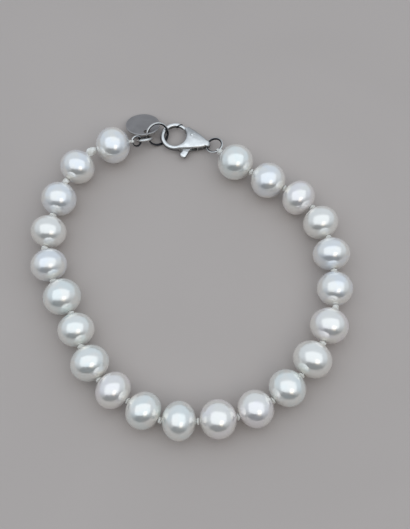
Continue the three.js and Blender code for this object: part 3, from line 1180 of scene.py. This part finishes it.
@dataclass(frozen=True)
class LobsterClasp:
    """The clasp: a domed teardrop body with a round hook, and a sprung lever on a pin."""

    opening: float = 2.3
    hook_middle: float = 2.83
    hook_half_width: float = 0.5
    hook_half_thickness: float = 0.6
    joint_point: tuple[float, float] = (0.19, 2.75)
    joint_slope: float = 40.0
    joint_half_gap: float = 0.06
    tail_end: float = 7.95
    tail_hole: float = 0.55
    tail_hole_at: float = 7.1
    pivot: tuple[float, float] = (3.5, 1.0)
    pin_radius: float = 0.3
    pin_hole: float = 0.38
    pin_half_length: float = 1.12
    pin_dome: float = 0.07
    slot_half: float = 0.57
    lever_half: float = 0.45
    gate_inner: float = 2.42
    gate_outer: float = 3.12
    hook_root: float = 285.7
    slant_width: float = 14.0
    # How far the painted shade at the hook's tip and the gate's tip reaches, in degrees.
    tip_shade_width: float = 4.0
    # Painted shade on the body's upper flank: how dark, where it starts across the clasp, and over
    # what width it grows.
    flank_shade: float = 0.48
    flank_from: float = -0.4
    flank_width: float = 2.0
    # The lever plate, between the body's cheeks, gets a middle painted shade.
    plate_shade: float = 0.45
    side_profile: Table = (
        (-0.6, 0.6), (0.5, 0.62), (1.5, 0.9), (2.6, 1.12), (3.7, 1.13), (5.0, 1.02),
        (6.1, 0.88), (7.1, 0.92), (7.65, 0.72), (8.0, 0.4),
    )
    end_profile: Table = (
        (0.0, 1.14), (1.4, 1.09), (2.6, 0.88), (3.4, 0.62), (4.0, 0.6),
    )

    def joint_angle(self, radius: Array, side: float) -> Array:
        """Where the slanting joint crosses a circle about the opening's middle.

        The joint is the line p + t d. The crossing is at the larger root t of |p + t d| = radius.

        Args:
            radius: Radius of each circle.
            side: +1 for the hook's side of the joint, -1 for the gate's.

        Returns:
            The angle of each crossing, in degrees.
        """
        slope = np.radians(self.joint_slope)
        way = np.array([np.cos(slope), np.sin(slope)])
        across = np.array([-way[1], way[0]])
        point = np.array(self.joint_point) + side * self.joint_half_gap * across
        middle = point @ way
        t = -middle + np.sqrt(middle**2 - point @ point + np.asarray(radius) ** 2)
        found = point + t[..., None] * way
        return np.degrees(np.arctan2(found[..., 1], found[..., 0]))

    def teardrop_line(self) -> Array:
        """The body's outer edge from the hook's root round the tail to the gate.

        Returns:
            Points along the edge.
        """
        end = self.tail_end
        return np.concatenate([
            quadratic((0.9, -3.2), (4.9, -2.25), (7.2, -0.68), 40),
            quadratic((7.5, -0.64), (end, -0.62), (end, 0.0), 12),
            quadratic((end, 0.0), (end, 0.62), (7.5, 0.64), 12)[1:],
            quadratic((7.2, 0.68), (5.0, 2.0), (2.3, 2.95), 36),
        ])

    def half_thickness(self, x: Array, y: Array) -> Array:
        """Half the body's thickness: the lesser of its side and end profiles, softened.

        Args:
            x: Places along the clasp.
            y: Places across it.

        Returns:
            Half the thickness at each place.
        """
        side = smooth_table(self.side_profile, x, 0.25)
        end = smooth_table(self.end_profile, np.abs(y), 0.3)
        return -np.log(np.exp(-14 * side) + np.exp(-14 * end)) / 14 + 0.03

    def body_surface(self) -> tuple[Array, Array]:
        """The hook and teardrop body as one surface of rings carried round the opening.

        Each ring runs across from the opening's edge I to the outer edge O. With the angle b
        round it, its point is the mean of I and O plus half their difference times
        cos b ^ (2/n), at height half-thickness times sin b ^ (2/n). The power n grows from 2 on
        the hook to 4.5 on the widest part, so that the body has a crowned face and round edges.

        Returns:
            The grid in the clasp's own frame, and a painted shade value for each point.
        """
        outer_radius = self.hook_middle + self.hook_half_width
        inner_radius = self.hook_middle - self.hook_half_width
        tip_outer, tip_inner = self.joint_angle(np.array([outer_radius, inner_radius]), 1.0)
        tip = (tip_outer + tip_inner) / 2
        hook = np.linspace(tip, self.hook_root, 56)
        slant = bell(hook - tip, self.slant_width)
        hook_outer = circle(outer_radius, hook + slant * (tip_outer - tip))
        hook_inner = circle(inner_radius, hook + slant * (tip_inner - tip))
        edge = even_spacing(self.teardrop_line(), 0.2)[1:]
        angle = np.degrees(np.arctan2(edge[:, 1], edge[:, 0])) % 360
        angle = np.where(angle < 180, angle + 360, angle)
        even = np.linspace(angle[0], angle[-1], len(angle))
        table = ((0, inner_radius), (0.12, self.opening), (1, self.opening))
        inner_blend = smooth_table(table, np.linspace(0, 1, len(angle)), 0.04)
        body_inner = circle(inner_blend, 0.45 * angle + 0.55 * even)
        outer = np.concatenate([hook_outer, edge])
        inner = np.concatenate([hook_inner, body_inner])
        width = np.linalg.norm(outer - inner, axis=-1)
        power = 2 / (2.1 + 2.4 * np.clip((width - 1) / 3.5, 0, 1))
        across, rise = oval(full_turn(44), power[:, None])
        flat = (outer + inner)[:, None] / 2 + across[..., None] * (outer - inner)[:, None] / 2
        on_body = np.concatenate([np.zeros(len(hook)), np.ones(len(edge))])
        on_body = np.convolve(np.pad(on_body, 4, "edge"), np.ones(9) / 9, "valid")[:, None]
        body_half = self.half_thickness(flat[..., 0], flat[..., 1])
        half = (1 - on_body) * self.hook_half_thickness + on_body * body_half
        grid = np.concatenate([flat, (half * rise)[..., None]], -1)
        # Painted shade at the hook's tip, in the gap where it meets the gate.
        at_tip = np.clip(1 - (hook - tip) / self.tip_shade_width, 0, 1)
        near_tip = np.concatenate([at_tip, np.zeros(len(edge))])[:, None]
        # Painted shade, darker towards the body's upper flank.
        up_flank = np.clip((flat[..., 1] - self.flank_from) / self.flank_width, 0, 1)
        flank = self.flank_shade * on_body * up_flank
        shade = np.maximum(self.side_painted_shade(rise), near_tip) * (1 - flank) + flank
        return self.rounded_ends(grid, shade)

    @staticmethod
    def rounded_ends(grid: Array, shade: Array) -> tuple[Array, Array]:
        """Adds rings that draw in to a point at both ends, on a quarter circle.

        Args:
            grid: The open surface.
            shade: Its shade values.

        Returns:
            The closed grid and its shade values.
        """
        turn = np.radians(np.linspace(90, 0, 6))[1:]
        draw, push = np.sin(turn)[:, None, None], np.cos(turn)[:, None, None]
        draw = 0.82 + 0.18 * draw
        draw[-1] = 0

        def cap(ring: Array, before: Array) -> Array:
            """Rings from one end ring outwards."""
            middle = ring.mean(0)
            out = unit(ring.mean(0) - before.mean(0))
            return middle + (ring - middle) * draw + out * push * 0.02

        start, end = cap(grid[0], grid[1])[::-1], cap(grid[-1], grid[-2])
        return np.concatenate([start, grid, end]), repeat_ends(shade, len(turn))

    def slot_line(self) -> Array:
        """The outline of the slot that the lever lies in."""
        return np.array([
            [1.8, -4.5], [5.45, -4.5], [5.45, -1.2], [5.1, -0.6], [5.0, 1.2], [4.4, 1.95],
            [3.4, 2.35], [2.45, 2.5], [1.9, 2.78], [1.0, 3.3], [1.0, 1.0], [1.8, -0.5],
        ])

    def lever_plate_line(self) -> Array:
        """The flat outline of the lever's plate between the gate and the thumb tab."""
        return np.concatenate([
            circle(3.02, np.linspace(58, 50, 5)),
            quadratic((2.2, 2.2), (2.9, 2.3), (3.5, 2.05), 10),
            quadratic((3.5, 2.05), (4.5, 1.7), (4.45, 0.8), 14)[1:],
            [[4.2, -0.6], [4.0, -2.5], [3.62, -3.1], [2.6, -3.1], [2.48, -2.7], [2.5, -1.2]],
            circle(self.gate_inner, np.linspace(-22, 58, 24)),
        ])

    def gate_surface(self) -> tuple[Array, Array]:
        """The gate as an oval bar bent round the opening, from the joint to the plate.

        Returns:
            The closed grid in the clasp's own frame, and its shade values.
        """
        middle = (self.gate_inner + self.gate_outer) / 2
        reach = (self.gate_outer - self.gate_inner) / 2
        tip_outer, tip_inner = self.joint_angle(np.array([self.gate_outer, self.gate_inner]), -1.0)
        tip = (tip_outer + tip_inner) / 2
        angle = np.linspace(tip, 38, 26)
        slant = bell(angle - tip, self.slant_width)[:, None]
        across, rise = oval(full_turn(32)[None, :], 0.85)
        lean = slant * across * (tip_outer - tip)
        flat = circle(middle + reach * across + 0 * lean, angle[:, None] + lean)
        grid = np.concatenate([flat, (self.lever_half * rise + 0 * lean)[..., None]], -1)
        # Painted shade at the gate's tip, in the gap where it meets the hook.
        near_tip = np.clip(1 - (tip - angle) / self.tip_shade_width, 0, 1)[:, None]
        return self.rounded_ends(grid, np.maximum(self.side_painted_shade(rise), near_tip))

    @staticmethod
    def side_painted_shade(rise: Array) -> Array:
        """Painted shade, low on the sides and under a bar, by the height on its section."""
        sides = (0.9 - np.abs(rise)) * 1.7
        under = (0.2 - rise) * 1.5
        return np.clip(np.maximum(sides, under), 0, 0.9)

    def tab_surface(self) -> tuple[Array, Array]:
        """The thumb tab: an oval bar that swells a little and ends in a round nose.

        Returns:
            The closed grid in the clasp's own frame, and its shade values.
        """
        path = quadratic((3.35, -1.9), (3.2, -3.2), (2.86, -3.98), 24)
        way = unit(np.gradient(path, axis=0))
        side = np.stack([-way[:, 1], way[:, 0]], -1)
        share = np.linspace(0, 1, 24)
        wide = 0.62 + 0.2 * share
        thick = np.full(24, self.lever_half)
        nose = np.radians(np.linspace(0, 88, 10))
        path = np.concatenate([path, path[-1] + way[-1] * 0.5 * np.sin(nose)[1:, None]])
        side = np.concatenate([side, np.repeat(side[-1:], 9, 0)])
        wide = np.concatenate([wide, wide[-1] * np.cos(nose)[1:] ** 0.8])
        thick = np.concatenate([thick, thick[-1] * np.cos(nose)[1:] ** 0.8])
        across, rise = oval(full_turn(32), 0.75)
        flat = path[:, None] + (wide[:, None] * across)[..., None] * side[:, None]
        grid = close_ends(np.concatenate([flat, (thick[:, None] * rise)[..., None]], -1))
        return grid, self.side_painted_shade(rise)[None]

    def pin_surface(self) -> Array:
        """The pin: a round bar with slightly domed ends.

        Returns:
            The closed grid in the clasp's own frame.
        """
        dome = np.radians(np.linspace(90, 0, 8))
        height = self.pin_half_length - self.pin_dome * (1 - np.sin(dome))
        ends = np.stack([self.pin_radius * np.cos(dome), height], -1)
        profile = np.concatenate([ends[1:], ends[::-1][:-1] * np.array([1, -1])])
        b = full_turn(32)[None, :]
        radius, z = profile[:, :1], profile[:, 1:]
        x = self.pivot[0] + radius * np.cos(b)
        y = self.pivot[1] + radius * np.sin(b)
        return close_ends(np.stack([x, y, z + 0 * b], -1))

    def build(self, pose: Pose, finish: SilverFinish) -> None:
        """Builds and dresses the body, the lever and the pin.

        Args:
            pose: Where the clasp lies.
            finish: Its finish.
        """
        grid, shade = self.body_surface()
        shell = Shell()
        shell.add(pose.place(grid), shade=shade)
        body = shell.build("clasp_shell")
        ring = circle(1.0, np.degrees(full_turn(32)))
        # The cutters leave painted shade on the walls of the pin hole, the slot and the tail hole.
        upright = prism(np.array(self.pivot) + self.pin_hole * ring, -2, 2, pose)
        slot = prism(self.slot_line(), -self.slot_half, self.slot_half, pose)
        tail_middle = pose.place(np.array([self.tail_hole_at, 0.0, 0.0]))
        across = Pose(tail_middle, pose.x_axis, -pose.z_axis, pose.y_axis)
        tail = prism(self.tail_hole * ring, -2, 2, across)
        cut_away(body, [slot, upright, tail], crease=38)
        dress(body, finish.material(), "polished_silver", "bracelet", "clasp_body")

        shell = Shell()
        for grid, shade in (self.gate_surface(), self.tab_surface()):
            shell.add(pose.place(grid), shade=shade)
        half = self.lever_half
        plate = prism(self.lever_plate_line(), -half, half, pose, self.plate_shade)
        lever = shell.build("clasp_gate", crease=50)
        join_prism(lever, plate)
        dress(lever, finish.material(), "polished_silver", "lever", "clasp_lever")

        shell = Shell()
        shell.add(pose.place(self.pin_surface()))
        pin = shell.build("clasp_rivet", crease=50)
        dress(pin, finish.material(), "polished_silver", "bracelet", "clasp_pin")


def join_prism(piece: bpy.types.Object, block: bpy.types.Object) -> None:
    """Adds a block's mesh to a piece's mesh and removes the block.

    Args:
        piece: The piece that keeps both.
        block: The block to add.
    """
    work = bmesh.new()
    work.from_mesh(piece.data)
    work.from_mesh(block.data)
    bmesh.ops.recalc_face_normals(work, faces=work.faces)
    work.to_mesh(piece.data)
    work.free()
    piece.data.shade_smooth()
    piece.data.set_sharp_from_angle(angle=np.radians(50))
    bpy.data.objects.remove(block)


# ---------------------------------------------------------------- studio and camera


@dataclass(frozen=True)
class Lamp:
    """A rectangular lamp, aimed at the middle of the bracelet."""

    name: str
    place: tuple[float, float, float]
    size: tuple[float, float]
    watts: float
    colour: tuple[float, float, float]

    def build(self) -> None:
        """Adds the lamp. Its place and size are in metres."""
        data = bpy.data.lights.new(self.name, "AREA")
        data.shape, data.size, data.size_y = "RECTANGLE", *self.size
        data.energy, data.color = self.watts, self.colour
        lamp = bpy.data.objects.new(self.name, data)
        lamp.location = self.place
        back = Vector(self.place).normalized()
        side = Vector((0.0, 1.0, 0.0)).cross(back).normalized()
        lamp.rotation_euler = Matrix((side, back.cross(side), back)).transposed().to_euler()
        lamp.visible_camera = False
        bpy.context.scene.collection.objects.link(lamp)


@dataclass(frozen=True)
class Studio:
    """A plain pale floor, soft light from above and behind, and a dark card in front, in metres."""

    floor: Colour = (0.51, 0.453, 0.42)
    front_light: Colour = (0.09, 0.083, 0.076)
    back_light: Colour = (0.56, 0.62, 0.69)
    bright_way: tuple[float, float, float] = (0.0, 0.75, 0.66)
    floor_half: float = 1.5
    card: Colour = (0.02, 0.02, 0.025)
    card_corners: tuple[tuple[float, float, float], ...] = (
        (-1.45, -1.3, 0.1), (1.3, -1.3, 0.1), (0.8, -1.25, 1.1), (-1.05, -1.25, 1.1),
    )
    lamps: tuple[Lamp, ...] = (
        Lamp("soft_overhead", (0.02, -0.16, 1.0), (2.6, 1.5), 6.1, (0.88, 0.95, 1.0)),
        Lamp("warm_side", (0.2, -0.36, 0.42), (0.22, 0.3), 0.16, (1.0, 0.90, 0.76)),
    )

    def build(self) -> None:
        """Adds the floor, the surroundings, the lamps and the dark card."""
        self.build_floor()
        self.build_surroundings()
        self.build_card()
        for lamp in self.lamps:
            lamp.build()

    def build_floor(self) -> None:
        """A large level sheet at z = 0, with a very faint unevenness of tone."""
        corners = np.array([[-1, -1, 0], [1, -1, 0], [1, 1, 0], [-1, 1, 0]]) * self.floor_half
        floor = new_object("floor", corners, [[0, 1, 2, 3]])
        material, sheet, shader = start_material("pale_floor", Specular_IOR_Level=0.2)
        clouds = SharedEffect.MOTTLE.place(sheet, 60.0)
        sheet.feed(shader, {
            "Base Color": sheet.mottled(clouds["Mask"], self.floor, 0.97),
            "Roughness": sheet.scale(clouds["Mask"], 0.75, 0.85),
        })
        floor.data.materials.append(material)

    def build_surroundings(self) -> None:
        """A soft light all round, dim low in front and bright above and behind."""
        world = bpy.data.worlds.new("soft_room")
        world.use_nodes = True
        sheet = NodeSheet(world.node_tree)
        way = sheet.add("ShaderNodeTexCoord").outputs["Generated"]
        inputs = {0: way, 1: self.bright_way}
        along = sheet.add("ShaderNodeVectorMath", inputs, operation="DOT_PRODUCT").outputs["Value"]
        depth = sheet.spread(along, -0.6, 0.28, "SMOOTHSTEP")
        colour = sheet.blend(depth, self.front_light, self.back_light)
        sheet.feed(world.node_tree.nodes["Background"], {"Color": colour})
        bpy.context.scene.world = world

    def build_card(self) -> None:
        """A dark card in front, low over the floor, that the pearls mirror as a soft shadow."""
        card = new_object("dark_card", np.array(self.card_corners), [[0, 1, 2, 3]])
        card.visible_camera = False
        material, _, _ = start_material("card_black", Base_Color=(*self.card, 1.0), Roughness=0.9)
        card.data.materials.append(material)


@dataclass(frozen=True)
class CameraRig:
    """A camera that looks down on the bracelet, 22 degrees off upright."""

    target: tuple[float, float, float] = (0.003107, 0.001334, 0.0)
    distance: float = 0.22105
    off_upright: float = 22.0
    lens: float = 71.46

    def build(self) -> None:
        """Adds the camera and makes it the scene's."""
        data = bpy.data.cameras.new("camera")
        data.lens, data.sensor_width, data.sensor_fit = self.lens, 36.0, "AUTO"
        data.clip_start, data.clip_end = 0.005, 10.0
        camera = bpy.data.objects.new("camera", data)
        tilt = np.radians(self.off_upright)
        back = Vector((0.0, -np.sin(tilt), np.cos(tilt)))
        camera.location = Vector(self.target) + back * self.distance
        camera.rotation_euler = (-back).to_track_quat("-Z", "Y").to_euler()
        bpy.context.scene.collection.objects.link(camera)
        bpy.context.scene.camera = camera


# ---------------------------------------------------------------- the whole bracelet


@dataclass(frozen=True)
class Lying:
    """Where a small piece lies: its design place, and the way that it faces."""

    at: tuple[float, float, float]
    facing: tuple[float, float, float]

    def pose(self, shift: Array) -> Pose:
        """The piece's pose, moved from its design place by the shift."""
        return Pose.facing(np.array(self.at) + shift, self.facing)


@dataclass(frozen=True)
class PearlBracelet:
    """All the pieces, placed by the frame's own shift from the first pearl's design place."""

    first_pearl: tuple[float, float] = (-19.9, 26.2)
    clasp_at: tuple[float, float, float] = (-6.49, 29.8, 1.25)
    clasp_heading: float = -15.8
    tail_ring_rise: float = 17.0
    tail_ring_radius: float = 1.75
    tail_wire_middle: float = 7.2
    end_ring: Lying = Lying((-14.89, 27.62, 3.2), (0.52, -0.5, 0.69))
    link_ring: Lying = Lying((-13.21, 28.47, 2.54), (-0.14, 0.75, 0.6))
    joining_ring: Lying = Lying((-10.41, 30.01, 2.05), (0.38, -0.62, 0.68))
    tag: Lying = Lying((-13.69, 32.32, 2.06), (-0.02, 0.4, 0.917))

    def shift(self) -> Array:
        """How far the frame lies from the design places, in millimetres."""
        return np.array([*(box_centre("pearl_01")[:2] - np.array(self.first_pearl)), 0.0])

    def clasp_pose(self) -> Pose:
        """The clasp's pose, flat with its tail to the right."""
        way = heading(self.clasp_heading)
        return Pose(np.array(self.clasp_at) + self.shift(), way, np.cross(UP, way), UP)

    def tail_pose(self, clasp: Pose) -> Pose:
        """The tail ring's pose: through the cross hole and rising towards the pearls.

        Args:
            clasp: The clasp's pose.

        Returns:
            The ring's pose.
        """
        rise = np.radians(self.tail_ring_rise)
        along = np.cos(rise) * clasp.x_axis + np.sin(rise) * clasp.z_axis
        normal = -np.sin(rise) * clasp.x_axis + np.cos(rise) * clasp.z_axis
        hole = clasp.place(np.array([self.tail_wire_middle, 0.0, 0.0]))
        centre = hole + along * self.tail_ring_radius
        return Pose(centre, along, clasp.y_axis, normal)

    def build(self) -> None:
        """Builds every piece in order."""
        silver = SilverFinish()
        # The wire finish's dark second colour is the colour of the painted shade.
        wire_silver = SilverFinish(
            name="wire_silver", metal=(0.76, 0.75, 0.73), painted_shade=(0.035, 0.035, 0.04),
            roughness=0.2, mark_depth=0.003,
        )
        places = StrandLayout().places()
        PearlStrand().build(places)
        shift = self.shift()
        end_pose = self.end_ring.pose(shift)
        clasp_pose = self.clasp_pose()
        tail_pose = self.tail_pose(clasp_pose)
        end_ring = JumpRing("end_ring", radius=1.08, wire=0.22, joint=200)
        # The link ring gets a little less painted shade.
        link_ring = JumpRing("link_ring", radius=1.5, wire=0.33, joint=160, painted_shade=0.8)
        joining_ring = JumpRing("joining_ring", radius=2.42, wire=0.27, joint=250)
        tail_ring = JumpRing("tail_ring", self.tail_ring_radius, wire=0.27, joint=-38, opening=0.12)
        end_ring.build(end_pose, wire_silver)
        link_ring.build(self.link_ring.pose(shift), wire_silver)
        joining_ring.build(self.joining_ring.pose(shift), wire_silver)
        tail_ring.build(tail_pose, wire_silver)
        BlankTag().build(self.tag.pose(shift))
        LobsterClasp().build(clasp_pose, silver)
        SilkThread().build(places, end_ring, end_pose, tail_ring, tail_pose)


def main() -> None:
    """Builds the bracelet, its studio and its camera, and logs the triangles of each piece."""
    logging.basicConfig(level=logging.INFO, format="%(message)s")
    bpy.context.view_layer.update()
    bpy.context.scene.view_settings.view_transform = "Standard"
    PearlBracelet().build()
    Studio().build()
    CameraRig().build()


if __name__ == "__main__":
    main()
